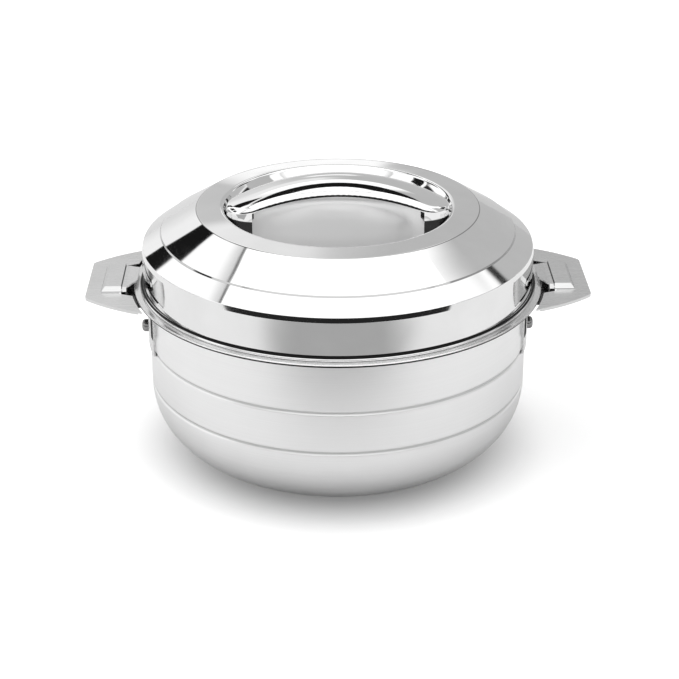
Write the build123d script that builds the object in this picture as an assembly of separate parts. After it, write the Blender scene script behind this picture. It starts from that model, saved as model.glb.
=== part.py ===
from build123d import *
import os
from math import asin, cos, degrees, radians, sin, sqrt

# Double-walled stainless steel casserole for keeping flat breads warm, with a lift-off lid.
# Millimetres, +Z up, origin at the centre of the foot, side handles along X, front towards -Y.

# ---- driving dimensions ----
# body
WALL_RADIUS = 119.3  # outside of the straight outer wall
BODY_HEIGHT = 113.0  # top face of the rim, where the lid rests
WALL_CURVE_START = 48.5  # height at which the straight wall turns in
SIDE_CURVE = 44.0  # upper radius of the belly
SHOULDER_ANGLE = 45.0  # slope at which the belly's two arcs meet
SHELL_SHEET = 0.7
BOWL_SHEET = 0.6
BODY_FOAM = 11.0
GROOVE_HEIGHTS = (77.3, 50.9)
GROOVE_DEPTH = 0.8
GROOVE_HALF_WIDTH = 1.7
RIM_WIDTH = 9.2  # how far the rim stands out from the wall
BOWL_LIP_FILLET = 2.5
PLUG_RADIUS = 9.0
PLUG_FLANGE = 3.0
PLUG_SHEET = 1.2

# lid
RIM_LEDGE = 5.9  # the rim's width outside the lid's straight wall
LID_BEAD = 1.9  # how far the lid's bottom bead stands out
LID_WALL_TOP = 26.7  # heights here are above the rim
LID_SHOULDER_STEP = 0.7  # the narrow steep band between the wall and the lower tier
LID_SHOULDER_DROP = 3.1
LOWER_TIER_WIDTH = 12.2
LID_CREASE_HEIGHT = 34.8
LID_CREASE_STEP = 0.9
UPPER_TIER_WIDTH = 22.4
PLATEAU_HEIGHT = 49.0  # at its outer edge
PLATEAU_WIDTH = 16.2
PLATEAU_RISE = 1.2  # towards the recess
RECESS_DEPTH = 18.0
RECESS_WALL_RUN = 8.8  # how far the sloping wall would reach in, down to the floor
RECESS_FLOOR_FILLET = 27.0
RECESS_RIM_FILLET = 2.5
PLATEAU_FILLET = 2.0
LID_CREASE_FILLET = 0.3
LID_SHOULDER_FILLETS = (0.5, 0.8)
LID_WALL_FOOT_FILLET = 0.6
LID_BEAD_FILLET = 0.95
LID_SHEET = 0.7
COVER_SHEET = 0.6
COVER_CLEARANCE = 1.2  # between the cover's skirt and the bowl
COVER_SKIRT = 6.0
COVER_CEILING = 14.0  # height of the cover's middle above the rim
COVER_EDGE_FILLET = 1.0
COVER_SKIRT_FILLET = 2.0
COVER_CEILING_FILLET = 12.0

# strap handle on the lid
STRAP_RISE = 18.2  # crest above the recess's rim
STRAP_BEND = 143.0
STRAP_CROWN = 40.0  # radius across the strap
STRAP_HALF = 18.0
STRAP_END_GAP = 1.8  # from its round end to the recess's rim
STRAP_EDGE_FILLET = 5.0
STRAP_EDGE_DEPTH = 7.2  # from the crest line down to the long edges
STRAP_LEG_START = 53.0  # where the round ends turn into legs
STRAP_SHEET = 1.2

# side handles
HANDLE_LENGTH = 26.6  # from the gap at the rim to the tip
HANDLE_TIP_HALF = 28.0
HANDLE_ROOT_ANGLE = 23.3
HANDLE_SIDE_BULGE = 1.6
HANDLE_CORNER = 5.0
HANDLE_SHEET = 1.0
HANDLE_LIP = 1.9  # depth of the turned-down edge
HANDLE_DROP = 0.3  # top of the plate below the top of the rim
HANDLE_RIM_GAP = 1.9
NOTCH_LENGTH = 5.9
NOTCH_HALF = 22.5  # at its far edge
NOTCH_MOUTH_HALF = 29.5  # at the rim
NOTCH_CORNER = 2.0
PAD_START = 4.8  # from the plate's inner edge
PAD_LENGTH = 10.2
PAD_HALF = 18.2
PAD_RISE = 3.3
PAD_SLOPE = 3.4
TONGUE_TIP_HALF = 10.5
TONGUE_NECK_LENGTH = 2.8
TONGUE_NECK_HALF = 14.0
TONGUE_ROOT_LENGTH = 3.0  # level part in front of the pad
TONGUE_RISE = 1.8
TONGUE_LID_GAP = 1.2
TONGUE_UNDER_PAD = 2.6

# handle brackets and their screws
BRACKET_SHEET = 1.2
BRACKET_HALF_ANGLE = 17.2  # of the leg and the arm, seen from above
BRACKET_FOOT = 5.5  # from the screw down to the leg's lower edge
BRACKET_ARM = 9.1  # under the plate
RIB_HEIGHT = 2.4  # the leg's side ribs, out from the wall
RIB_START = 3.0  # above the screw
RIB_TAPER = 5.0
SCREW_HEIGHT = 81.0
SCREW_RADIUS = 2.0
SCREW_HEAD_RADIUS = 4.0
SCREW_HEAD_HEIGHT = 4.4
SCREW_SLOT_WIDTH = 1.1
SCREW_SLOT_DEPTH = 1.6
SCREW_END = 1.2  # thread past the nut
BACKING_HALF = 8.0
BACKING_SHEET = 1.6
NUT_ACROSS_FLATS = 7.0
NUT_HEIGHT = 3.2
FIT_CLEARANCE = 0.15

# ---- worked out from them ----
SHOULDER = radians(SHOULDER_ANGLE)
BASE_CURVE = (WALL_CURVE_START - SIDE_CURVE * cos(SHOULDER)) / (1 - cos(SHOULDER))
BASE_FLAT = WALL_RADIUS - SIDE_CURVE - (BASE_CURVE - SIDE_CURVE) * sin(SHOULDER)
BOWL_INSET = SHELL_SHEET + BODY_FOAM + BOWL_SHEET
BOWL_RADIUS = WALL_RADIUS - BOWL_INSET
RIM_RADIUS = WALL_RADIUS + RIM_WIDTH
SHELL_RIM_TOP = BODY_HEIGHT - BOWL_SHEET
RIM_THICKNESS = 2 * BOWL_SHEET + SHELL_SHEET
LID_RADIUS = RIM_RADIUS - RIM_LEDGE
CREASE_RADIUS = LID_RADIUS - LOWER_TIER_WIDTH
PLATEAU_RADIUS = CREASE_RADIUS - UPPER_TIER_WIDTH
RECESS_RADIUS = PLATEAU_RADIUS - PLATEAU_WIDTH
RECESS_RIM = BODY_HEIGHT + PLATEAU_HEIGHT + PLATEAU_RISE
RECESS_FLOOR = RECESS_RIM - RECESS_DEPTH
STRAP_TOP = RECESS_RIM + STRAP_RISE
STRAP_END = RECESS_RADIUS - STRAP_END_GAP
LID_THICKNESS_AT_BEAD = 2 * LID_SHEET + COVER_SHEET
BEAD_RADIUS = LID_RADIUS + LID_BEAD
BEAD_INNER = LID_RADIUS - LID_BEAD
PLATE_TOP = BODY_HEIGHT - HANDLE_DROP
PLATE_BOTTOM = PLATE_TOP - HANDLE_SHEET
PLATE_INNER = RIM_RADIUS + HANDLE_RIM_GAP
HANDLE_REACH = PLATE_INNER + HANDLE_LENGTH
NOTCH_REACH = PLATE_INNER + NOTCH_LENGTH
PAD_INNER = PLATE_INNER + PAD_START
PAD_OUTER = PAD_INNER + PAD_LENGTH
TONGUE_SHOULDER = PAD_INNER - TONGUE_ROOT_LENGTH
TONGUE_NECK = TONGUE_SHOULDER - TONGUE_NECK_LENGTH
BRACKET_REACH = PLATE_INNER + BRACKET_ARM
BRACKET_BOTTOM = SCREW_HEIGHT - BRACKET_FOOT
RIB_BOTTOM = SCREW_HEIGHT + RIB_START
PAD_TOP = PLATE_TOP + PAD_RISE
TONGUE_TOP = PAD_TOP - HANDLE_SHEET
TONGUE_TIP = BEAD_RADIUS + TONGUE_LID_GAP
FAR = 2 * HANDLE_REACH  # past the whole part


def spun(section):
    """Turn a section, drawn as (radius, height), about the vertical axis."""
    return revolve(Plane.XZ * section, Axis.Z)


def sheet(line, thickness, side):
    """The section of a sheet that grows from an open line to one side of it."""
    return make_face(offset(line, amount=thickness, side=side))


def largest(section):
    """The largest of a section's faces, without the slivers left outside the grooves."""
    return section.faces().sort_by(SortBy.AREA)[-1]


def area_within(line):
    """The area between the axis and a line that starts on it, up to the line's end."""
    start = line @ 0
    end = line @ 1
    closing = Polyline((end.X, end.Y), (0, end.Y), (0, start.Y))
    return make_face(line + closing)


def vessel_line(inset, start_radius):
    """The belly from near the axis out to the wall, inset from the outer face."""
    side_centre = (WALL_RADIUS - SIDE_CURVE, WALL_CURVE_START)
    base_centre = (BASE_FLAT, BASE_CURVE)
    foot = Line((start_radius, inset), (BASE_FLAT, inset))
    base = CenterArc(base_centre, BASE_CURVE - inset, -90, SHOULDER_ANGLE)
    side = CenterArc(side_centre, SIDE_CURVE - inset, SHOULDER_ANGLE - 90, 90 - SHOULDER_ANGLE)
    return foot + base + side


def groove(height):
    """One rolled groove as three points: its lower lip, its root and its upper lip."""
    return (
        (WALL_RADIUS, height - GROOVE_HALF_WIDTH),
        (WALL_RADIUS - GROOVE_DEPTH, height),
        (WALL_RADIUS, height + GROOVE_HALF_WIDTH),
    )


def outer_wall_line():
    """The straight wall above the belly, with its grooves and the flange under the rim."""
    points = [(WALL_RADIUS, WALL_CURVE_START)]
    radii = []
    for height in sorted(GROOVE_HEIGHTS):
        points += groove(height)
        radii += [GROOVE_HALF_WIDTH / 2] * 3
    flange_bottom = SHELL_RIM_TOP - SHELL_SHEET
    points += [(WALL_RADIUS, flange_bottom), (RIM_RADIUS - 2 * BOWL_SHEET, flange_bottom)]
    radii += [BOWL_SHEET]
    return FilletPolyline(*points, radius=radii)


def outer_shell_section():
    line = vessel_line(0, PLUG_RADIUS) + outer_wall_line()
    return sheet(Wire(line.edges()), SHELL_SHEET, Side.LEFT)


def make_outer_shell():
    """The outer wall with its foot, grooves and upper flange."""
    shell = spun(outer_shell_section())
    for side in (-1, 1):
        shell -= screw_hole(side)
    return shell


def bowl_line():
    """Outer face of the inner bowl, from its centre up the wall, over and around the rim."""
    top = SHELL_RIM_TOP
    wall = FilletPolyline(
        (BOWL_RADIUS + BOWL_SHEET, WALL_CURVE_START),
        (BOWL_RADIUS + BOWL_SHEET, top),
        (RIM_RADIUS - BOWL_SHEET, top),
        (RIM_RADIUS - BOWL_SHEET, top - SHELL_SHEET),
        (WALL_RADIUS + 2 * BOWL_LIP_FILLET, top - SHELL_SHEET),
        radius=[BOWL_LIP_FILLET, SHELL_SHEET / 3, SHELL_SHEET / 3],
    )
    return vessel_line(BOWL_INSET - BOWL_SHEET, 0) + wall


def inner_bowl_section():
    return sheet(Wire(bowl_line().edges()), BOWL_SHEET, Side.LEFT)


def make_inner_bowl():
    """The bowl that holds the food, rolled around the outer wall's flange at the rim."""
    return spun(inner_bowl_section())


def foam_wall_line(top):
    """The foam's upright outer face, stepped in behind each groove of the shell."""
    wall = WALL_RADIUS - SHELL_SHEET
    root = wall - GROOVE_DEPTH - FIT_CLEARANCE
    step = GROOVE_HALF_WIDTH + SHELL_SHEET / 2
    points = [(wall, WALL_CURVE_START)]
    for height in sorted(GROOVE_HEIGHTS):
        points += [
            (wall, height - step),
            (root, height - SHELL_SHEET),
            (root, height + SHELL_SHEET),
            (wall, height + step),
        ]
    return Polyline(*points, (wall, top))


def make_body_insulation():
    """Foam that fills the space between the two walls, around the handles' fasteners."""
    top = SHELL_RIM_TOP - SHELL_SHEET - BOWL_LIP_FILLET
    outside = vessel_line(SHELL_SHEET, 0) + foam_wall_line(top)
    inner = BOWL_RADIUS + BOWL_SHEET
    inset = BOWL_INSET - BOWL_SHEET
    inside = vessel_line(inset, 0) + Line((inner, WALL_CURVE_START), (inner, top))
    foam = spun(area_within(Wire(outside.edges())) - area_within(Wire(inside.edges())))
    foam -= plug_shank(0)
    for side in (-1, 1):
        foam -= fastener_pocket(side)
    return foam


def plug_shank(height):
    """The stem of a filler plug, upwards from a height."""
    return Pos(0, 0, height) * extrude(Circle(PLUG_RADIUS), PLUG_FLANGE + SHELL_SHEET)


def make_body_filler_plug():
    """Plug in the hole through which the foam was poured, flush with the foot."""
    return plug_shank(0)


# ---- side handles, drawn for the +X side and turned for the other ----


def on_side(shape, side):
    """Leave a shape on the +X side, or turn it about the axis to the -X side."""
    return shape if side > 0 else Rot(0, 0, 180) * shape


def screw_axis(radius, side):
    """A frame on the screw's axis at a radius, with its Z pointing away from the body."""
    return on_side_frame(side) * Pos(radius, 0, SCREW_HEIGHT) * Rot(0, 90, 0)


def on_side_frame(side):
    return Rot(0, 0, 0 if side > 0 else 180)


def screw_hole(side):
    """The hole for a handle's screw, through the bracket, the shell and the backing plate."""
    length = BRACKET_SHEET + SHELL_SHEET + BACKING_SHEET
    start = WALL_RADIUS + BRACKET_SHEET - length - BACKING_SHEET
    hole = extrude(Circle(SCREW_RADIUS + FIT_CLEARANCE), length + 2 * BACKING_SHEET)
    return screw_axis(start, side) * hole


def handle_outline():
    """The plate's outline seen from above, with slightly bowed sides."""
    root = radians(HANDLE_ROOT_ANGLE)
    inner = (PLATE_INNER * cos(root), PLATE_INNER * sin(root))
    tip = (HANDLE_REACH, HANDLE_TIP_HALF)
    bulge = ((inner[0] + tip[0]) / 2 + HANDLE_SIDE_BULGE, (inner[1] + tip[1]) / 2 + HANDLE_SIDE_BULGE)
    front = ThreePointArc((inner[0], -inner[1]), (bulge[0], -bulge[1]), (tip[0], -tip[1]))
    end = Line((tip[0], -tip[1]), tip)
    back = ThreePointArc(tip, bulge, inner)
    rim = ThreePointArc(inner, (PLATE_INNER, 0), (inner[0], -inner[1]))
    outline = make_face(front + end + back + rim)
    tips = outline.vertices().filter_by(lambda v: v.X > HANDLE_REACH - HANDLE_CORNER)
    return fillet(tips, HANDLE_CORNER)


def handle_notch():
    """The opening between the plate's middle and the rim, wider at the rim."""
    mouth = PLATE_INNER * cos(radians(HANDLE_ROOT_ANGLE))
    line = Polyline(
        (mouth, -NOTCH_MOUTH_HALF),
        (NOTCH_REACH, -NOTCH_HALF),
        (NOTCH_REACH, NOTCH_HALF),
        (mouth, NOTCH_MOUTH_HALF),
        close=True,
    )
    notch = make_face(line)
    outer = notch.vertices().filter_by(lambda v: v.X > NOTCH_REACH - NOTCH_CORNER)
    return fillet(outer, NOTCH_CORNER)


def pad_block(inset):
    """A tapered block for the raised pad, or inset by the sheet for its hollow."""
    length = PAD_OUTER - PAD_INNER
    middle = (PAD_INNER + PAD_OUTER) / 2
    low = Rectangle(length + 2 * (PAD_SLOPE - inset), 2 * (PAD_HALF + PAD_SLOPE - inset))
    high = Rectangle(length - 2 * inset, 2 * (PAD_HALF - inset))
    bottom = Pos(middle, 0, PLATE_BOTTOM) * low
    top = Pos(middle, 0, PAD_TOP - inset) * high
    return loft([bottom.face(), top.face()])


def tongue():
    """The tongue from under the pad towards the lid: a shallow channel, then a rising flat lug."""
    root = PAD_INNER + TONGUE_UNDER_PAD
    low = TONGUE_TOP - HANDLE_SHEET
    side = Polyline(
        (root, low),
        (root, TONGUE_TOP),
        (TONGUE_SHOULDER, TONGUE_TOP),
        (TONGUE_TIP, TONGUE_TOP + TONGUE_RISE),
        (TONGUE_TIP, low + TONGUE_RISE),
        (TONGUE_SHOULDER, low),
        close=True,
    )
    half = PAD_HALF - HANDLE_SHEET
    strip = extrude(Plane.XZ * make_face(side), half, both=True)
    back = ThreePointArc((TONGUE_SHOULDER, half), (TONGUE_NECK, TONGUE_NECK_HALF), (TONGUE_TIP, TONGUE_TIP_HALF))
    tip = Line((TONGUE_TIP, TONGUE_TIP_HALF), (TONGUE_TIP, -TONGUE_TIP_HALF))
    front = ThreePointArc(
        (TONGUE_TIP, -TONGUE_TIP_HALF), (TONGUE_NECK, -TONGUE_NECK_HALF), (TONGUE_SHOULDER, -half)
    )
    under = Polyline((TONGUE_SHOULDER, -half), (root, -half), (root, half), (TONGUE_SHOULDER, half))
    outline = make_face(back + tip + front + under)
    channel = extrude(Plane.YZ * tongue_channel(), root - TONGUE_SHOULDER)
    return (strip & extrude(outline, FAR)) + Pos(TONGUE_SHOULDER, 0, 0) * channel


def tongue_channel():
    """The tongue's section across Y where its sides slope down like the pad's."""
    outer_half = PAD_HALF - HANDLE_SHEET
    inner_half = outer_half - HANDLE_SHEET
    low = TONGUE_TOP - HANDLE_SHEET
    spread = PAD_SLOPE * (TONGUE_TOP - PLATE_TOP) / (TONGUE_TOP - PLATE_BOTTOM)
    line = Polyline(
        (-outer_half - spread, PLATE_TOP),
        (-outer_half, TONGUE_TOP),
        (outer_half, TONGUE_TOP),
        (outer_half + spread, PLATE_TOP),
        (inner_half + spread, PLATE_TOP),
        (inner_half, low),
        (-inner_half, low),
        (-inner_half - spread, PLATE_TOP),
        close=True,
    )
    return make_face(line)


def make_handle_plate(side):
    """One stamped side handle: flat plate with a turned-down edge, a raised pad and a tongue."""
    outline = handle_outline()
    flat = outline - handle_notch()
    plate = Pos(0, 0, PLATE_BOTTOM) * extrude(flat, HANDLE_SHEET)
    lip_zone = outline - offset(outline, amount=-HANDLE_SHEET)
    near_rim = Circle(PLATE_INNER + 2 * HANDLE_SHEET)
    lip = Pos(0, 0, PLATE_TOP - HANDLE_LIP) * extrude(lip_zone - near_rim, HANDLE_LIP)
    plate = plate + lip
    open_side = Pos(PAD_INNER - FAR / 2, 0, PAD_TOP) * Box(FAR, FAR, FAR)
    pad = pad_block(0) - open_side
    hollow = pad_block(HANDLE_SHEET)
    past_rim = Pos(0, 0, PLATE_BOTTOM) * extrude(Circle(PLATE_INNER), PAD_RISE)
    plate = plate + pad - hollow
    plate = plate - past_rim + tongue()
    return on_side(plate, side)


def sector(section, half_angle):
    """A section turned about the vertical axis by an angle each side of the XZ plane."""
    return Rot(0, 0, -half_angle) * revolve(Plane.XZ * section, Axis.Z, 2 * half_angle)


def make_handle_bracket(side):
    """The bracket on the wall: a ribbed leg down the wall and an arm out under the plate."""
    arm = BODY_HEIGHT - RIM_THICKNESS - FIT_CLEARANCE
    step = PLATE_INNER + 2 * BRACKET_SHEET
    line = FilletPolyline(
        (WALL_RADIUS, BRACKET_BOTTOM),
        (WALL_RADIUS, arm),
        (step, arm),
        (step + BRACKET_SHEET, PLATE_BOTTOM),
        (BRACKET_REACH, PLATE_BOTTOM),
        radius=[2 * BRACKET_SHEET, BRACKET_SHEET / 2, BRACKET_SHEET / 2],
    )
    bent_sheet = make_face(offset(line, amount=BRACKET_SHEET, side=Side.RIGHT))
    bracket = sector(bent_sheet, BRACKET_HALF_ANGLE)
    rib_angle = degrees(BRACKET_SHEET / WALL_RADIUS)
    rib = sector(rib_section(arm), rib_angle / 2)
    for edge in (-1, 1):
        bracket += Rot(0, 0, edge * (BRACKET_HALF_ANGLE - rib_angle / 2)) * rib
    return on_side(bracket, side) - screw_hole(side)


def rib_section(arm):
    """A rib's outline, from its tapered foot to the underside of the arm."""
    inner = WALL_RADIUS + BRACKET_SHEET / 2
    outer = WALL_RADIUS + RIB_HEIGHT
    top = arm - BRACKET_SHEET / 2
    line = Polyline((inner, RIB_BOTTOM), (outer, RIB_BOTTOM + RIB_TAPER), (outer, top), (inner, top), close=True)
    return make_face(line)


def make_handle_screw(side):
    """A pan-head screw from outside, with a cross slot."""
    seat = WALL_RADIUS + BRACKET_SHEET
    length = BRACKET_SHEET + SHELL_SHEET + BACKING_SHEET + NUT_HEIGHT + SCREW_END
    shank = Pos(0, 0, -length) * extrude(Circle(SCREW_RADIUS), length)
    head = extrude(Circle(SCREW_HEAD_RADIUS), SCREW_HEAD_HEIGHT)
    head = fillet(head.edges().sort_by(Axis.Z)[-1], SCREW_HEAD_HEIGHT / 2)
    slot = Rectangle(SCREW_HEAD_RADIUS, SCREW_SLOT_WIDTH) + Rectangle(SCREW_SLOT_WIDTH, SCREW_HEAD_RADIUS)
    head -= Pos(0, 0, SCREW_HEAD_HEIGHT - SCREW_SLOT_DEPTH) * extrude(slot, SCREW_SLOT_DEPTH)
    return screw_axis(seat, side) * (shank + head)


def make_backing_plate(side, outer_shell):
    """The plate that backs the shell behind the screw, bent to the wall and its groove."""
    outer = WALL_RADIUS - SHELL_SHEET
    ring = Circle(outer) - Circle(outer - BACKING_SHEET)
    window = Pos(outer, 0) * Rectangle(4 * BACKING_HALF, 2 * BACKING_HALF)
    plate = Pos(0, 0, SCREW_HEIGHT - BACKING_HALF) * extrude(ring & window, 2 * BACKING_HALF)
    plate = on_side(plate, side) - screw_hole(side) - outer_shell
    return plate.solids().sort_by(SortBy.VOLUME)[-1]


def make_nut(side):
    """The nut behind the backing plate."""
    seat = WALL_RADIUS - SHELL_SHEET - BACKING_SHEET
    corner = NUT_ACROSS_FLATS / sqrt(3)
    outline = RegularPolygon(corner, 6) - Circle(SCREW_RADIUS + FIT_CLEARANCE)
    return screw_axis(seat - NUT_HEIGHT - nut_gap(), side) * extrude(outline, NUT_HEIGHT)


def fastener_pocket(side):
    """The space that the backing plate, the nut and the screw's end take up in the foam."""
    inner = WALL_RADIUS - SHELL_SHEET - BACKING_SHEET - FIT_CLEARANCE
    half = BACKING_HALF + FIT_CLEARANCE
    ring = Circle(WALL_RADIUS) - Circle(inner)
    window = Pos(WALL_RADIUS, 0) * Rectangle(4 * BACKING_HALF, 2 * half)
    plate_space = Pos(0, 0, SCREW_HEIGHT - half) * extrude(ring & window, 2 * half)
    length = NUT_HEIGHT + SCREW_END
    nut_outline = Circle(NUT_ACROSS_FLATS / sqrt(3) + FIT_CLEARANCE)
    nut_space = screw_axis(inner - length, side) * extrude(nut_outline, length + BACKING_SHEET)
    return on_side(plate_space, side) + nut_space


def nut_gap():
    """How far a flat nut stands off the bent backing plate."""
    inner = WALL_RADIUS - SHELL_SHEET - BACKING_SHEET
    half = NUT_ACROSS_FLATS / 2
    return inner - sqrt(inner**2 - half**2)


# ---- lid ----


def lid_line():
    """Upper face of the lid, from the middle of the recess out to the wall and around the bead."""
    base = BODY_HEIGHT
    wall_foot = base + LID_THICKNESS_AT_BEAD
    crease = base + LID_CREASE_HEIGHT
    half_step = LID_CREASE_STEP / 2
    return FilletPolyline(
        (0, RECESS_FLOOR),
        (RECESS_RADIUS - RECESS_WALL_RUN, RECESS_FLOOR),
        (RECESS_RADIUS, RECESS_RIM),
        (PLATEAU_RADIUS, base + PLATEAU_HEIGHT),
        (CREASE_RADIUS, crease + half_step),
        (CREASE_RADIUS + half_step, crease - half_step),
        (LID_RADIUS - LID_SHOULDER_STEP, base + LID_WALL_TOP),
        (LID_RADIUS, base + LID_WALL_TOP - LID_SHOULDER_DROP),
        (LID_RADIUS, wall_foot),
        (BEAD_RADIUS, wall_foot),
        (BEAD_RADIUS, base),
        (BEAD_INNER, base),
        radius=[
            RECESS_FLOOR_FILLET,
            RECESS_RIM_FILLET,
            PLATEAU_FILLET,
            LID_CREASE_FILLET,
            LID_CREASE_FILLET,
            *LID_SHOULDER_FILLETS,
            LID_WALL_FOOT_FILLET,
            LID_BEAD_FILLET,
            LID_BEAD_FILLET,
        ],
    )


def lid_section():
    return sheet(lid_line(), LID_SHEET, Side.RIGHT)


def make_lid_outer_shell():
    """The lid's stamped outer sheet, folded around the inner cover at the bead."""
    return spun(lid_section())


def cover_line():
    """Lower face of the lid's inner cover, from its edge in the bead to the middle."""
    seat = BODY_HEIGHT + LID_SHEET
    skirt = BOWL_RADIUS - COVER_CLEARANCE
    bottom = BODY_HEIGHT - COVER_SKIRT
    inner = skirt - COVER_SKIRT
    return FilletPolyline(
        (BEAD_RADIUS - LID_SHEET - 2 * FIT_CLEARANCE, seat),
        (skirt, seat),
        (skirt, bottom),
        (inner, bottom),
        (inner - COVER_SKIRT, BODY_HEIGHT + COVER_CEILING),
        (0, BODY_HEIGHT + COVER_CEILING),
        radius=[COVER_EDGE_FILLET, COVER_SKIRT_FILLET, COVER_SKIRT_FILLET, COVER_CEILING_FILLET],
    )


def cover_section():
    return sheet(cover_line(), COVER_SHEET, Side.RIGHT)


def make_lid_inner_cover():
    """The lid's lower sheet: a skirt that drops into the bowl and a shallow dome."""
    return spun(cover_section()) - lid_plug_shank()


def lid_plug_shank():
    bottom = BODY_HEIGHT + COVER_CEILING
    return Pos(0, 0, bottom) * extrude(Circle(PLUG_RADIUS), PLUG_FLANGE)


def make_lid_filler_plug():
    """Plug in the cover's filling hole, with a thin flange below the cover."""
    bottom = BODY_HEIGHT + COVER_CEILING - PLUG_SHEET
    flange = Pos(0, 0, bottom) * extrude(Circle(PLUG_RADIUS + PLUG_FLANGE), PLUG_SHEET)
    return lid_plug_shank() + flange


def area_above(line):
    """The area over a line that starts on the axis and runs outwards."""
    start = line @ 0
    end = line @ 1
    high = BODY_HEIGHT + FAR
    closing = Polyline((end.X, end.Y), (FAR, end.Y), (FAR, high), (0, high), (0, start.Y))
    return make_face(line + closing)


def area_below(line):
    """The area under a line that runs inwards and ends on the axis."""
    start = line @ 0
    end = line @ 1
    low = BODY_HEIGHT - FAR
    closing = Polyline((0, end.Y), (0, low), (FAR, low), (FAR, start.Y), (start.X, start.Y))
    return make_face(line + closing)


def make_lid_insulation():
    """Foam that fills the lid between its two sheets."""
    wall = LID_RADIUS - LID_SHEET
    low = BODY_HEIGHT - COVER_SKIRT
    high = RECESS_RIM
    block = Pos(wall / 2, (low + high) / 2) * Rectangle(wall, high - low)
    section = block - area_above(lid_line()) - area_below(cover_line())
    section = section - lid_section() - cover_section()
    return spun(largest(section)) - lid_plug_shank()


def strap_outline(inset):
    """The strap seen from above: straight sides and round ends."""
    return SlotOverall(2 * (STRAP_END - inset), 2 * (STRAP_HALF - inset))


def arched(section):
    """A section across Y, with the strap's crest at its (0, 0), bent into an arch along X."""
    reach = degrees(asin(STRAP_END / (STRAP_BEND - strap_height())))
    bend_axis = Axis((0, 0, STRAP_TOP - STRAP_BEND), (0, 1, 0))
    face = Pos(0, 0, STRAP_TOP) * (Plane.YZ * section)
    return revolve(face, bend_axis, 2 * reach).rotate(bend_axis, -reach)


def strap_height():
    """From the strap's crest to a little below the recess's floor."""
    return STRAP_RISE + RECESS_DEPTH + 2 * STRAP_SHEET


def strap_block(inset):
    """The whole space under the strap's upper face, or inset by the sheet for its hollow."""
    height = strap_height() + inset
    crown = Pos(0, -STRAP_CROWN) * Circle(STRAP_CROWN - inset)
    slab = Pos(0, -height / 2) * Rectangle(2 * STRAP_CROWN, height)
    prism = Pos(0, 0, STRAP_TOP - FAR / 2) * extrude(strap_outline(inset), FAR)
    block = prism & arched(crown & slab)
    long_edges = block.edges().filter_by(lambda e: e.length > 2 * STRAP_HALF)
    upper = long_edges.filter_by(lambda e: e.center().Z > RECESS_FLOOR)
    return fillet(upper.filter_by(GeomType.LINE, reverse=True), STRAP_EDGE_FILLET - inset)


def strap_openings():
    """The space under the strap's long edges, between its legs."""
    depth = strap_height()
    below = Pos(0, -STRAP_EDGE_DEPTH - depth / 2) * Rectangle(4 * STRAP_HALF, depth)
    between_legs = Pos(0, 0, STRAP_TOP) * Box(2 * STRAP_LEG_START, 4 * STRAP_HALF, 4 * depth)
    return arched(below) & between_legs


def make_lid_handle_strap():
    """The crowned, arched strap; its round ends go down as legs to the recess's wall."""
    strap = strap_block(0) - strap_block(STRAP_SHEET) - strap_openings()
    return strap & recess_space()


def recess_space():
    """The space over the recess, out to its wall."""
    line = FilletPolyline(
        (0, RECESS_FLOOR),
        (RECESS_RADIUS - RECESS_WALL_RUN, RECESS_FLOOR),
        (RECESS_RADIUS, RECESS_RIM),
        (RECESS_RADIUS, RECESS_RIM + FAR),
        radius=[RECESS_FLOOR_FILLET, 0],
    )
    return spun(area_within(line))


def main():
    os.makedirs("parts", exist_ok=True)
    sides = {"left": -1, "right": 1}
    screws = [make_handle_screw(side) for side in sides.values()]
    outer_shell = make_outer_shell()
    backing = [make_backing_plate(side, outer_shell) for side in sides.values()]
    nuts = [make_nut(side) for side in sides.values()]
    nodes = {
        "outer_shell": outer_shell,
        "inner_bowl": make_inner_bowl(),
        "body_insulation": make_body_insulation(),
        "body_filler_plug": make_body_filler_plug(),
        "handle_screws": Compound(children=screws),
        "handle_backing_plates": Compound(children=backing),
        "handle_nuts": Compound(children=nuts),
        "lid_outer_shell": make_lid_outer_shell(),
        "lid_inner_cover": make_lid_inner_cover(),
        "lid_insulation": make_lid_insulation(),
        "lid_filler_plug": make_lid_filler_plug(),
        "lid_handle_strap": make_lid_handle_strap(),
    }
    for name, side in sides.items():
        nodes["handle_plate_" + name] = make_handle_plate(side)
        nodes["handle_bracket_" + name] = make_handle_bracket(side)
    for name, shape in nodes.items():
        export_step(shape, f"parts/{name}.step")


main()
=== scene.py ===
import math

import bpy
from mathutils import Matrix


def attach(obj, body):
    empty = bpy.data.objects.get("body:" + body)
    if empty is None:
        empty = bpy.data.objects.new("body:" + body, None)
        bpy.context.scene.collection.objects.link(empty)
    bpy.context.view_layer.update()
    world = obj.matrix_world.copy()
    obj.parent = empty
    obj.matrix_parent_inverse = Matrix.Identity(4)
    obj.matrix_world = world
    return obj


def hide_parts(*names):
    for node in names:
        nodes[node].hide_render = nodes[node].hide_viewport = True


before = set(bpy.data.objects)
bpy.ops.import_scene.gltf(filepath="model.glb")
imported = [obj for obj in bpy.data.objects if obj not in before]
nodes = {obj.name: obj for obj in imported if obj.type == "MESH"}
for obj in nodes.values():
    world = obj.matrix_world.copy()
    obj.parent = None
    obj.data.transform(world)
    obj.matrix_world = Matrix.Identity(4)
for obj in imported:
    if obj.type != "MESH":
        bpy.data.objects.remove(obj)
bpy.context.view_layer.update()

scene = bpy.context.scene

# ---- camera, at the photograph's viewing angle ----
IMAGE = 679.0
FOCAL = 1843.0                       # focal length in pixels
TILT = math.radians(23.04)
DISTANCE = 1.168
TARGET = (337.8, 278.7)              # pixel of the lid's middle, at the rim's height
TARGET_Z = 0.1122
TURN = math.radians(-1.1)            # the handles' line isn't quite square to the view


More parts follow.
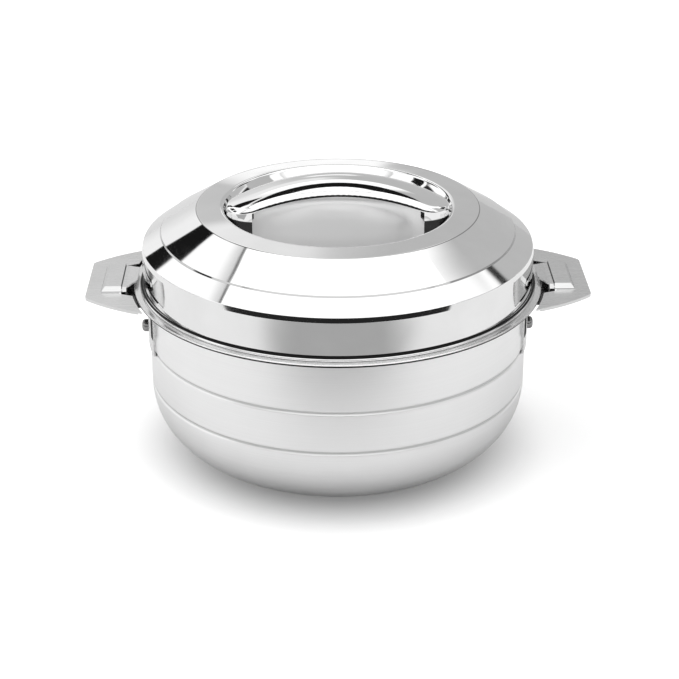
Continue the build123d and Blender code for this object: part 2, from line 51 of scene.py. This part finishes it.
def make_camera():
    data = bpy.data.cameras.new("camera")
    data.sensor_width = 36.0
    data.lens = FOCAL / IMAGE * 36.0
    data.shift_x = (IMAGE / 2 - TARGET[0]) / IMAGE
    data.shift_y = (TARGET[1] - IMAGE / 2) / IMAGE
    data.clip_start = 0.05
    data.clip_end = 50
    cam = bpy.data.objects.new("camera", data)
    back = DISTANCE * math.cos(TILT)
    cam.location = (back * math.sin(TURN), -back * math.cos(TURN), TARGET_Z + DISTANCE * math.sin(TILT))
    cam.rotation_euler = (math.pi / 2 - TILT, 0, TURN)
    scene.collection.objects.link(cam)
    scene.camera = cam


# ---- shade painted on the finishes, in metres from the axis and up from the table ----
LINE_SOFT = 0.0001
CREASE_LINE = (0.1103, 0.111)
RING_EDGE = (0.0879, 0.0885)
RING_EDGE_BEHIND = (0.0862, 0.0886)
SEAM_START = 0.1148
SEAM_TOP_BEHIND = 0.1152
SEAM_TOP_FRONT = 0.1163
GROOVE_HEIGHTS = (0.0773, 0.0509)
BRACKET_SHADE = 0.1206               # brackets are dark outside this radius


# ---- node helpers ----
def new_material(name):
    mat = bpy.data.materials.new(name)
    mat.use_nodes = True
    tree = mat.node_tree
    tree.nodes.clear()
    return mat, tree


def add(tree, kind, **settings):
    node = tree.nodes.new(kind)
    for key, value in settings.items():
        if key.startswith("in_"):
            node.inputs[key[3:]].default_value = value
        else:
            setattr(node, key, value)
    return node


def link(tree, out_node, out_name, in_node, in_name):
    tree.links.new(out_node.outputs[out_name], in_node.inputs[in_name])


class Field:
    """A number worked out by a node tree, one Math or Map Range node at a time."""

    def __init__(self, tree):
        self.tree = tree

    def math(self, operation, *values):
        node = self.tree.nodes.new("ShaderNodeMath")
        node.operation = operation
        for socket, value in zip(node.inputs, values):
            if isinstance(value, (int, float)):
                socket.default_value = value
            else:
                self.tree.links.new(value, socket)
        return node.outputs[0]

    def rise(self, value, start, end, low=0.0, high=1.0):
        """low below start, high above end, smooth between them."""
        node = self.tree.nodes.new("ShaderNodeMapRange")
        node.interpolation_type = "SMOOTHSTEP"
        self.tree.links.new(value, node.inputs["Value"])
        node.inputs["From Min"].default_value = start
        node.inputs["From Max"].default_value = end
        node.inputs["To Min"].default_value = low
        node.inputs["To Max"].default_value = high
        return node.outputs["Result"]

    def band(self, value, low, high, soft):
        """1 between two limits, falling to 0 over a soft edge."""
        up = self.rise(value, low - soft, low + soft)
        down = self.rise(value, high - soft, high + soft)
        return self.math("SUBTRACT", up, down)

    def both(self, *masks):
        total = masks[0]
        for mask in masks[1:]:
            total = self.math("MULTIPLY", total, mask)
        return total

    def over(self, base, mask, value):
        """base where the mask is 0 and value where it is 1."""
        node = self.tree.nodes.new("ShaderNodeMix")
        node.data_type = "FLOAT"
        self.tree.links.new(mask, node.inputs[0])
        for socket, item in ((node.inputs[2], base), (node.inputs[3], value)):
            if isinstance(item, (int, float)):
                socket.default_value = item
            else:
                self.tree.links.new(item, socket)
        return node.outputs[0]

    def noise(self, vector, scale, detail=2.0):
        node = self.tree.nodes.new("ShaderNodeTexNoise")
        node.inputs["Scale"].default_value = scale
        node.inputs["Detail"].default_value = detail
        self.tree.links.new(vector, node.inputs["Vector"])
        return node.outputs[0]

    def vector(self, x, y, z):
        node = self.tree.nodes.new("ShaderNodeCombineXYZ")
        for socket, value in zip(node.inputs, (x, y, z)):
            if isinstance(value, (int, float)):
                socket.default_value = value
            else:
                self.tree.links.new(value, socket)
        return node.outputs[0]


class Surface:
    """A Principled material with its coordinates and a few fields worked out."""

    def __init__(self, name):
        self.material, self.tree = new_material(name)
        self.field = Field(self.tree)
        out = add(self.tree, "ShaderNodeOutputMaterial")
        self.bsdf = add(self.tree, "ShaderNodeBsdfPrincipled")
        link(self.tree, self.bsdf, "BSDF", out, "Surface")
        coord = add(self.tree, "ShaderNodeTexCoord")
        self.point = coord.outputs["Object"]
        axes = add(self.tree, "ShaderNodeSeparateXYZ")
        self.tree.links.new(self.point, axes.inputs[0])
        self.x, self.y, self.z = axes.outputs
        f = self.field
        self.radius = f.math("SQRT", f.math("ADD", f.math("MULTIPLY", self.x, self.x),
                                            f.math("MULTIPLY", self.y, self.y)))

    def grey(self, value, tint=(1.0, 1.0, 1.0)):
        """Drive the base colour with a grey field and a slight tint."""
        f = self.field
        node = add(self.tree, "ShaderNodeCombineColor")
        for socket, part in zip(node.inputs, tint):
            self.tree.links.new(f.math("MULTIPLY", value, part), socket)
        self.tree.links.new(node.outputs[0], self.bsdf.inputs["Base Color"])

    def rough(self, value):
        self.tree.links.new(value, self.bsdf.inputs["Roughness"])

    def bump(self, height, strength, distance):
        node = add(self.tree, "ShaderNodeBump", in_Strength=strength, in_Distance=distance)
        self.tree.links.new(height, node.inputs["Height"])
        self.tree.links.new(node.outputs[0], self.bsdf.inputs["Normal"])

    def ring_grain(self, density):
        """Fine lines that run round the vertical axis."""
        f = self.field
        along = f.math("MULTIPLY", self.radius, density)
        up = f.math("MULTIPLY", self.z, density)
        lines = f.vector(along, f.math("MULTIPLY", self.x, 6.0), up)
        return f.noise(lines, 1.0, 3.0)

    def line_grain(self, density):
        """Fine lines that run along X."""
        f = self.field
        lines = f.vector(f.math("MULTIPLY", self.x, 12.0), f.math("MULTIPLY", self.y, density),
                         f.math("MULTIPLY", self.z, density))
        return f.noise(lines, 1.0, 3.0)


def polished_steel():
    """Mirror-polished sheet with faint smears and waves, a satin recess floor and painted shade."""
    surface = Surface("lid_polished_steel")
    f = surface.field
    smear = f.noise(surface.point, 38.0, 3.0)
    surface.bsdf.inputs["Metallic"].default_value = 1.0
    tone = f.rise(smear, 0.3, 0.7, 0.8, 0.84)
    satin_zone = f.both(f.rise(surface.radius, 0.0645, 0.0605), f.rise(surface.z, 0.152, 0.148))
    tone = f.over(tone, satin_zone, 0.68)
    # painted shade along the crease line
    crease_shade = f.band(surface.radius, *CREASE_LINE, LINE_SOFT)
    tone = f.over(tone, crease_shade, 0.5)
    # painted dark line at the ring's outer edge, at both sides
    plateau_edge_shade = f.both(f.band(surface.radius, *RING_EDGE, LINE_SOFT),
                          f.rise(f.math("ABSOLUTE", surface.x), 0.04, 0.06))
    tone = f.over(tone, plateau_edge_shade, 0.35)
    # painted shade at the ring's edge behind
    back_edge_shade = f.both(f.band(surface.radius, *RING_EDGE_BEHIND, 0.0003), f.rise(surface.y, 0.05, 0.07))
    tone = f.over(tone, back_edge_shade, 0.5)
    # painted shadow in the seam at the foot of the lid wall, reaching higher towards the front
    seam_top = f.rise(surface.y, -0.05, -0.115, SEAM_TOP_BEHIND, SEAM_TOP_FRONT)
    seam_shadow = f.both(f.rise(surface.radius, 0.1212, 0.1215),
                  f.rise(surface.z, SEAM_START - LINE_SOFT, SEAM_START + LINE_SOFT),
                  f.rise(f.math("SUBTRACT", seam_top, surface.z), -LINE_SOFT, LINE_SOFT))
    surface.grey(f.over(tone, seam_shadow, 0.02))
    gloss = f.rise(smear, 0.35, 0.75, 0.035, 0.07)
    surface.rough(f.over(f.over(gloss, satin_zone, 0.3), seam_shadow, 0.5))
    surface.bump(f.noise(surface.point, 18.0, 0.0), 1.0, 0.002)
    return surface.material


def strap_steel():
    """Mirror-polished strap with painted shade on its two legs."""
    surface = Surface("strap_polished_steel")
    f = surface.field
    smear = f.noise(surface.point, 55.0, 3.0)
    surface.bsdf.inputs["Metallic"].default_value = 1.0
    tone = f.rise(smear, 0.3, 0.7, 0.81, 0.85)
    # painted shade on the strap's legs, low down at both ends
    leg_shade = f.both(f.rise(f.math("ABSOLUTE", surface.x), 0.0522, 0.0526), f.rise(surface.z, 0.1583, 0.1577))
    surface.grey(f.over(tone, leg_shade, 0.04))
    surface.rough(f.over(f.rise(smear, 0.35, 0.75, 0.03, 0.07), leg_shade, 0.4))
    return surface.material


def satin_steel(name, grey, rough, density, strength=0.12, rolled_edge_shade=False, grooves=()):
    """Steel with a fine grain round the axis, with painted shade under a rolled edge and in its grooves."""
    surface = Surface(name)
    f = surface.field
    lines = surface.ring_grain(density)
    cloud = f.noise(surface.point, 22.0, 2.0)
    surface.bsdf.inputs["Metallic"].default_value = 1.0
    tone = f.math("ADD", f.rise(lines, 0.3, 0.7, grey - 0.012, grey + 0.012),
                  f.rise(cloud, 0.3, 0.7, -0.01, 0.01))
    if rolled_edge_shade:
        # painted shadow under the rolled edge
        gap = f.both(f.rise(surface.radius, 0.1205, 0.121), f.rise(surface.z, 0.1124, 0.1122))
        tone = f.over(tone, gap, 0.02)
    for height in grooves:
        # painted shade at the root of each groove
        groove_shade = f.both(f.band(surface.z, height - 0.0007, height + 0.0009, 0.0004),
                      f.rise(surface.radius, 0.115, 0.116))
        tone = f.over(tone, groove_shade, 0.7 * grey)
    surface.grey(tone)
    wear = f.rise(cloud, 0.35, 0.7, -0.02, 0.02)
    surface.rough(f.math("ADD", f.rise(lines, 0.3, 0.7, rough - 0.03, rough + 0.03), wear))
    surface.bump(lines, strength, 0.0002)
    return surface.material


def plate_steel():
    """Brushed along the handle, with painted shadow lines at the foot and the open side of the pad."""
    surface = Surface("handle_satin_steel")
    f = surface.field
    lines = surface.line_grain(4200.0)
    cloud = f.noise(surface.point, 30.0, 2.0)
    surface.bsdf.inputs["Metallic"].default_value = 1.0
    tone = f.math("ADD", f.rise(lines, 0.3, 0.7, 0.68, 0.695), f.rise(cloud, 0.3, 0.7, -0.02, 0.02))
    reach = f.math("ABSOLUTE", surface.x)
    half = f.math("ABSOLUTE", surface.y)
    # painted shadow lines at the foot of the plate and along the open side of the pad
    foot = f.both(f.band(surface.z, 0.1129, 0.1132, LINE_SOFT), f.rise(reach, 0.1345, 0.1348))
    slit_shadow = f.both(f.band(reach, 0.1349, 0.1354, LINE_SOFT), f.rise(half, 0.0184, 0.0182),
                  f.rise(surface.z, 0.1140, 0.1142))
    surface.grey(f.over(f.over(tone, foot, 0.1), slit_shadow, 0.03))
    surface.rough(f.rise(lines, 0.3, 0.7, 0.22, 0.28))
    surface.bump(lines, 0.05, 0.0001)
    return surface.material


def plain_steel(name, grey, rough, shade_past=None):
    """Zinc-plated or rolled steel with a mottled surface, and painted shade past a radius if one is given."""
    surface = Surface(name)
    f = surface.field
    mottle = f.noise(surface.point, 420.0, 4.0)
    surface.bsdf.inputs["Metallic"].default_value = 1.0
    tone = f.rise(mottle, 0.3, 0.7, grey - 0.03, grey + 0.03)
    if shade_past:
        # painted shade past the given radius
        tone = f.over(tone, f.rise(surface.radius, shade_past, shade_past + 0.0002), 0.06)
    surface.grey(tone)
    surface.rough(f.rise(mottle, 0.3, 0.7, rough - 0.04, rough + 0.05))
    surface.bump(mottle, 0.08, 0.0002)
    return surface.material


def plug_plastic():
    """Black moulded plastic with a fine eroded texture."""
    surface = Surface("plug_plastic")
    f = surface.field
    grain = f.noise(surface.point, 1800.0, 2.0)
    surface.grey(f.rise(grain, 0.3, 0.7, 0.028, 0.045))
    surface.rough(f.rise(grain, 0.3, 0.7, 0.46, 0.6))
    surface.bump(grain, 0.25, 0.0002)
    return surface.material


def rigid_foam():
    """Cream foam with fine cells."""
    surface = Surface("rigid_foam")
    f = surface.field
    cells = surface.tree.nodes.new("ShaderNodeTexVoronoi")
    cells.inputs["Scale"].default_value = 900.0
    surface.tree.links.new(surface.point, cells.inputs["Vector"])
    cell = cells.outputs["Distance"]
    surface.grey(f.rise(cell, 0.0, 0.6, 0.62, 0.8), (1.0, 0.9, 0.62))
    surface.rough(f.rise(cell, 0.0, 0.6, 0.95, 0.8))
    surface.bump(cell, 0.5, 0.0006)
    return surface.material


BODY_STEEL = satin_steel("body_satin_steel", 0.88, 0.36, 2600.0, grooves=GROOVE_HEIGHTS)
BOWL_STEEL = satin_steel("bowl_satin_steel", 0.78, 0.24, 2200.0, 0.08, rolled_edge_shade=True)
PLATE_STEEL = plate_steel()
BRACKET_STEEL = plain_steel("bracket_steel", 0.7, 0.26, shade_past=BRACKET_SHADE)
FASTENER_STEEL = plain_steel("fastener_steel", 0.3, 0.24)
PLUG = plug_plastic()
FOAM = rigid_foam()
LID_STEEL = polished_steel()
STRAP_STEEL = strap_steel()

FINISHES = {
    "outer_shell": BODY_STEEL,
    "inner_bowl": BOWL_STEEL,
    "body_insulation": FOAM,
    "body_filler_plug": PLUG,
    "handle_plate_left": PLATE_STEEL,
    "handle_plate_right": PLATE_STEEL,
    "handle_bracket_left": BRACKET_STEEL,
    "handle_bracket_right": BRACKET_STEEL,
    "handle_screws": FASTENER_STEEL,
    "handle_backing_plates": BRACKET_STEEL,
    "handle_nuts": FASTENER_STEEL,
    "lid_outer_shell": LID_STEEL,
    "lid_inner_cover": BOWL_STEEL,
    "lid_insulation": FOAM,
    "lid_filler_plug": PLUG,
    "lid_handle_strap": STRAP_STEEL,
}


def finish_nodes():
    for name, node in nodes.items():
        for slot in node.material_slots:
            slot.link = "OBJECT"
            slot.material = FINISHES[name]
        if not node.material_slots:
            node.data.materials.append(FINISHES[name])


# ---- the lid's outer sheet, turned as one smooth surface ----
SHEET = 0.7                          # millimetres, as are the corners
SEGMENTS = 288
LID_CORNERS = [                      # radius, height and fillet
    (0, 145.2, 0), (63.0, 145.2, 27.0), (71.8, 163.2, 2.5), (88.0, 162.0, 2.0),
    (110.4, 148.25, 0.3), (110.85, 147.35, 0.3), (121.9, 139.7, 0.5), (122.6, 136.6, 0.8),
    (122.6, 115.0, 0.6), (124.5, 115.0, 0.95), (124.5, 113.0, 0.95), (120.7, 113.0, 0),
]


def unit(vector):
    length = math.hypot(*vector)
    return vector[0] / length, vector[1] / length


def offset_corners(corners, distance):
    """The same corners moved to the right of the line, with their fillets to match."""
    moved = []
    ways = [unit((b[0] - a[0], b[1] - a[1])) for a, b in zip(corners, corners[1:])]
    for i, (x, z, fillet) in enumerate(corners):
        before = ways[max(i - 1, 0)]
        after = ways[min(i, len(ways) - 1)]
        turn = before[0] * after[1] - before[1] * after[0]
        half = (before[0] + after[0], before[1] + after[1])
        way = unit(half)
        share = way[0] * before[0] + way[1] * before[1]
        moved_fillet = fillet + distance if turn > 0 else max(fillet - distance, 0)
        moved.append((x + way[1] * distance / share, z - way[0] * distance / share, moved_fillet))
    return moved


def rounded(corners, step=math.radians(6)):
    """Points along a line of corners with true arcs, each with the normal to its left."""
    line = []
    for i, (x, z, fillet) in enumerate(corners):
        if i in (0, len(corners) - 1):
            other = corners[1] if i == 0 else corners[-2]
            way = unit((other[0] - x, other[1] - z) if i == 0 else (x - other[0], z - other[1]))
            line.append(((x, z), (-way[1], way[0])))
            continue
        before = unit((x - corners[i - 1][0], z - corners[i - 1][1]))
        after = unit((corners[i + 1][0] - x, corners[i + 1][1] - z))
        turn = math.atan2(before[0] * after[1] - before[1] * after[0],
                          before[0] * after[0] + before[1] * after[1])
        if fillet == 0:
            line.append(((x, z), (-before[1], before[0])))
            line.append(((x, z), (-after[1], after[0])))
            continue
        reach = fillet * math.tan(abs(turn) / 2)
        start = (x - before[0] * reach, z - before[1] * reach)
        side = 1 if turn > 0 else -1
        centre = (start[0] - side * before[1] * fillet, start[1] + side * before[0] * fillet)
        count = max(3, math.ceil(abs(turn) / step))
        for k in range(count + 1):
            angle = turn * k / count
            normal = (-before[1] * math.cos(angle) - before[0] * math.sin(angle),
                      before[0] * math.cos(angle) - before[1] * math.sin(angle))
            point = (centre[0] - side * normal[0] * fillet, centre[1] - side * normal[1] * fillet)
            line.append((point, normal))
    return line


def turned(name, loop, segments):
    """A closed section of (point, normal) pairs turned about the vertical axis."""
    rows = []
    vertices = []
    for (radius, height), _normal in loop:
        if radius < 1e-6:
            rows.append([len(vertices)] * segments)
            vertices.append((0, 0, height / 1000))
            continue
        rows.append(list(range(len(vertices), len(vertices) + segments)))
        for k in range(segments):
            angle = 2 * math.pi * k / segments
            vertices.append((radius / 1000 * math.cos(angle), radius / 1000 * math.sin(angle), height / 1000))
    faces = []
    normals = []
    for i in range(len(loop) - 1):
        if math.dist(loop[i][0], loop[i + 1][0]) < 1e-6:
            continue
        for k in range(segments):
            n = (k + 1) % segments
            corners = [(rows[i][k], i, k), (rows[i + 1][k], i + 1, k),
                       (rows[i + 1][n], i + 1, n), (rows[i][n], i, n)]
            if rows[i][0] == rows[i][1]:
                del corners[3]
            if rows[i + 1][0] == rows[i + 1][1]:
                del corners[2]
            faces.append([c[0] for c in corners])
            for _vertex, row, step in corners:
                angle = 2 * math.pi * step / segments
                across, up = loop[row][1]
                normals.append((across * math.cos(angle), across * math.sin(angle), up))
    mesh = bpy.data.meshes.new(name)
    mesh.from_pydata(vertices, [], faces)
    mesh.validate()
    mesh.shade_smooth()
    mesh.normals_split_custom_set(normals)
    piece = bpy.data.objects.new(name, mesh)
    scene.collection.objects.link(piece)
    return piece


def make_lid_sheet():
    """The lid's outer sheet, with the shape of the solid and exact normals."""
    outer = rounded(LID_CORNERS)
    inner_line = rounded(offset_corners(LID_CORNERS, SHEET))
    inner = [(point, (-normal[0], -normal[1])) for point, normal in reversed(inner_line)]
    cap = ((outer[-1][0], (-1, 0)), (inner[0][0], (-1, 0)))
    piece = turned("lid_sheet", [*outer, *cap, *inner], SEGMENTS)
    piece.data.materials.append(LID_STEEL)
    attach(piece, "lid")
    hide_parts("lid_outer_shell")


# ---- studio ----
def make_floor():
    """A white table with painted soft shadows; in reflections alone it has painted shade in front, behind and
    near the body.
    """
    mesh = bpy.data.meshes.new("floor")
    half = 12
    square = [(-half, -half, 0), (half, -half, 0), (half, half, 0), (-half, half, 0)]
    mesh.from_pydata(square, [], [(0, 1, 2, 3)])
    floor = bpy.data.objects.new("floor", mesh)
    scene.collection.objects.link(floor)
    surface = Surface("floor_white")
    tree, f = surface.tree, surface.field
    tree.nodes.remove(surface.bsdf)
    out = next(node for node in tree.nodes if node.type == "OUTPUT_MATERIAL")
    # painted shadows on the table, under the body and wider to the right
    contact_shadow = f.rise(surface.radius, 0.075, 0.145)                   # shadow under the body
    aside = f.vector(f.math("SUBTRACT", surface.x, 0.16), surface.y, 0.0)
    length = add(tree, "ShaderNodeVectorMath", operation="LENGTH")
    tree.links.new(aside, length.inputs[0])
    soft = f.rise(length.outputs["Value"], 0.0, 0.22, 0.9, 1.0)      # wider shadow to the right
    shadow_level = f.both(f.over(0.5, contact_shadow, 1.0), soft)
    # seen only in reflections: painted shade in front and far in front, and dimmer behind
    front_shade = f.both(f.rise(f.math("ABSOLUTE", surface.x), 0.3, 0.13), f.rise(surface.y, -0.25, -0.34))
    table = f.over(f.over(0.9, front_shade, 0.42), f.rise(surface.y, -1.15, -1.3), 0.02)
    table = f.over(table, f.rise(surface.y, 0.35, 0.8), f.rise(surface.x, -0.2, 0.2, 0.75, 0.6))
    # painted shade near the body, in reflections only
    near_shade = f.rise(surface.radius, 0.1, 0.26, 0.84, 1.0)
    mirrored = add(tree, "ShaderNodeBsdfDiffuse")
    tree.links.new(f.both(shadow_level, table, near_shade), mirrored.inputs["Color"])
    bsdf = add(tree, "ShaderNodeBsdfDiffuse")
    tree.links.new(f.math("MULTIPLY", shadow_level, 0.9), bsdf.inputs["Color"])
    glow = add(tree, "ShaderNodeEmission", in_Color=(1, 1, 1, 1))
    tree.links.new(f.math("MULTIPLY", shadow_level, 0.35), glow.inputs["Strength"])
    total = add(tree, "ShaderNodeAddShader")
    path = add(tree, "ShaderNodeLightPath")
    mix = add(tree, "ShaderNodeMixShader")
    tree.links.new(bsdf.outputs[0], total.inputs[0])
    tree.links.new(glow.outputs[0], total.inputs[1])
    tree.links.new(path.outputs["Is Camera Ray"], mix.inputs[0])
    tree.links.new(mirrored.outputs[0], mix.inputs[1])
    tree.links.new(total.outputs[0], mix.inputs[2])
    tree.links.new(mix.outputs[0], out.inputs["Surface"])
    mesh.materials.append(surface.material)


BLACK_STRIPS = (                     # bearings and heights, in degrees
    ((-42, -32.5), (2, 44)),
    ((-93, -79), (12, 26)),
    ((48.2, 50.6), (26, 39)),
)


def studio_light(tree):
    """Soft panels round the table, by bearing from the back (degrees, right is positive) and height."""
    f = Field(tree)
    coord = add(tree, "ShaderNodeTexCoord")
    axes = add(tree, "ShaderNodeSeparateXYZ")
    tree.links.new(coord.outputs["Generated"], axes.inputs[0])
    x, y, z = axes.outputs
    bearing = f.math("MULTIPLY", f.math("ARCTAN2", x, y), 180 / math.pi)
    height = f.math("MULTIPLY", f.math("ARCSINE", z), 180 / math.pi)
    side = f.math("ABSOLUTE", bearing)

    front = f.rise(side, 112, 128)
    behind = f.rise(side, 30, 22)

    light = 0.56                                                     # wall behind the table
    light = f.over(light, f.band(bearing, -60, -8, 9), 0.8)          # lighter to the left
    light = f.over(light, f.band(bearing, -60, -22, 5), 1.05)
    pale = f.both(f.rise(bearing, 5, -6), f.band(height, 24, 35, 3), behind)
    light = f.over(light, pale, 0.98)                                # pale patch left of the middle

    light = f.over(light, front, 0.5)                                # room behind the camera
    light = f.over(light, f.both(front, f.band(height, 17, 70, 1.5)), 1.35)    # its large panel
    light = f.over(light, f.both(front, f.rise(height, 16, 14)), 0.02)         # dark below the panel

    light = f.over(light, f.both(behind, f.rise(height, 34, 36.5)), 1.35)      # panel high behind
    lamp = f.both(f.rise(side, 6, 3), f.band(height, 10.5, 17, 1.0))
    light = f.over(light, lamp, 1.15)                                # small lamp straight behind

    low_right = f.both(f.band(bearing, 51, 118, 1.0), f.band(height, 12, 40, 2))
    high_right = f.both(f.band(bearing, 53, 118, 6.0), f.band(height, 40, 70, 2))
    light = f.over(light, f.math("ADD", low_right, high_right), 1.25)          # panel on the right
    gap = f.both(f.band(bearing, 75, 105, 0.8), f.band(height, 8, 42, 1))
    light = f.over(light, gap, 0.55)                                 # grey gap in it

    left = f.both(f.band(bearing, -116, -42, 1.0), f.band(height, -8, 55, 1.0))
    light = f.over(light, left, f.rise(height, 54, 48, 0.8, 1.25))   # panel on the left
    for bearings, heights in BLACK_STRIPS:
        light = f.over(light, f.both(f.band(bearing, *bearings, 0.4), f.band(height, *heights, 1)), 0.01)
    doors = f.both(f.band(side, 55, 75, 1.0), f.band(height, 14, 32, 1.5))
    light = f.over(light, doors, 0.03)                               # dark opening on either side

    overhead = f.over(f.rise(height, 54.5, 55.5), front, f.rise(height, 73, 77))
    light = f.over(light, overhead, 1.5)                             # ceiling, further up in front
    left_edge = f.both(f.band(bearing, -112, -40, 1), f.band(height, 54, 55.2, 0.4))
    light = f.over(light, left_edge, 0.2)                            # line between left panel and ceiling
    return f.over(light, f.both(f.rise(side, 46, 42), f.band(height, 46.5, 59, 0.8)), 0.01)


def make_world():
    """White to the camera; the studio's panels to everything else."""
    world = bpy.data.worlds.new("studio")
    scene.world = world
    world.use_nodes = True
    tree = world.node_tree
    tree.nodes.clear()
    out = add(tree, "ShaderNodeOutputWorld")
    back = add(tree, "ShaderNodeBackground", in_Color=(1, 1, 1, 1), in_Strength=1.0)
    room = add(tree, "ShaderNodeBackground", in_Color=(1, 1, 1, 1))
    tree.links.new(studio_light(tree), room.inputs["Strength"])
    path = add(tree, "ShaderNodeLightPath")
    mix = add(tree, "ShaderNodeMixShader")
    tree.links.new(path.outputs["Is Camera Ray"], mix.inputs[0])
    tree.links.new(room.outputs[0], mix.inputs[1])
    tree.links.new(back.outputs[0], mix.inputs[2])
    tree.links.new(mix.outputs[0], out.inputs["Surface"])


finish_nodes()
make_lid_sheet()
make_camera()
make_floor()
make_world()
scene.view_settings.view_transform = "Standard"
